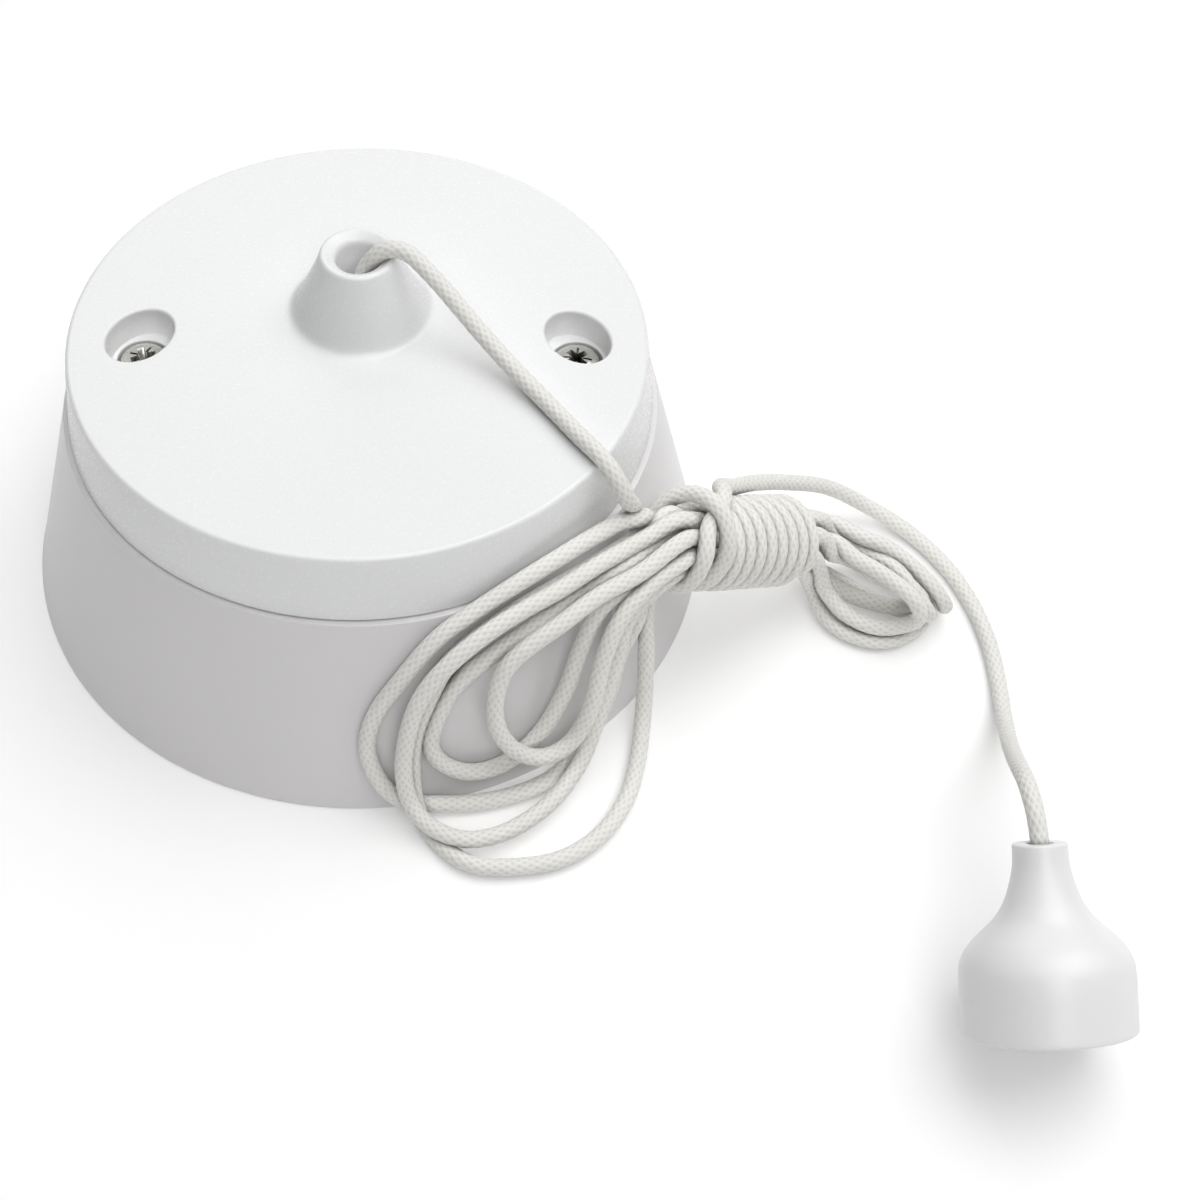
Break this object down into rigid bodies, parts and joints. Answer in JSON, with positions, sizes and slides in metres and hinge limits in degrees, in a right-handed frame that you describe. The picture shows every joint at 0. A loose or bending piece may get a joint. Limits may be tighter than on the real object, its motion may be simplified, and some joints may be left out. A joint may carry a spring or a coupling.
{
  "type": "pull cord switch",
  "caption": "Round white ceiling switch on a flared back box, worked by a braided pull cord that leaves a central cone; the cord is wound in a hank and ends in a bell-shaped pull.",
  "frame": {"origin": "centre of the back face, which is screwed to the ceiling in use and stands on a table here", "axes": "+Z runs out of the back face through the cover and the cord outlet; +X runs along the line of the two cover screws; the cord outlet is set back from the centre towards +Y"},
  "size_m": [0.1496, 0.1466, 0.056],
  "materials": {
    "housing_cover": "satin moulded urea, white",
    "housing_base": "satin moulded urea, white",
    "inner_plastic": "matt moulded thermoset",
    "acetal": "smooth acetal",
    "bell": "semi-matt moulded",
    "cord": "fine braided nylon",
    "steel": "zinc plated",
    "spring_steel": "bright drawn",
    "brass": "machined"
  },
  "bodies": {
    "root": {"pattress_box": "housing_base", "cover": "housing_cover", "thread_insert_left": "brass", "thread_insert_right": "brass", "cover_screw_left": "steel", "cover_screw_right": "steel", "mechanism_case": "inner_plastic", "mechanism_lid": "inner_plastic", "case_screw_front": "steel", "case_screw_back": "steel", "terminal_common": "brass", "terminal_one": "brass", "terminal_two": "brass", "terminal_screw_common": "steel", "terminal_screw_one": "steel", "terminal_screw_two": "steel", "earth_terminal": "brass", "earth_screw": "steel", "ratchet_axle": "steel", "contact_pin": "steel", "detent_leaf": "spring_steel", "fixed_contact": "brass", "common_strip": "brass", "return_spring": "spring_steel"},
    "pull": {"cord_slider": "acetal", "drive_pawl": "spring_steel", "slider_knot": "cord", "cord_lead": "cord", "cord_hank_left": "cord", "cord_windings": "cord", "cord_hank_right": "cord", "cord_tail": "cord", "bell_pull": "bell", "bell_knot": "cord"},
    "ratchet": {"ratchet_cam": "acetal"},
    "contact": {"moving_contact": "brass"}
  },
  "joints": [
    {"name": "cord_pull", "type": "slide", "parent": "root", "child": "pull", "axis": [0, 0, 1], "range_m": [0, 0.0061], "stiffness_N_per_m": 400, "deforming": ["return_spring"]},
    {"name": "ratchet_turn", "type": "hinge", "parent": "root", "child": "ratchet", "pos_m": [-0.0125, 0.0055, 0.02], "axis": [0, -1, 0], "range_deg": [0, 45]},
    {"name": "contact_swing", "type": "hinge", "parent": "root", "child": "contact", "pos_m": [-0.01675, 0.0097, 0.0115], "axis": [0, -1, 0], "range_deg": [0, 8.2]}
  ],
  "couplings": [
    {"joint": "ratchet_turn", "follows": "cord_pull", "rad_per_m": 128},
    {"joint": "contact_swing", "follows": "cord_pull", "rad_per_m": 23}
  ]
}
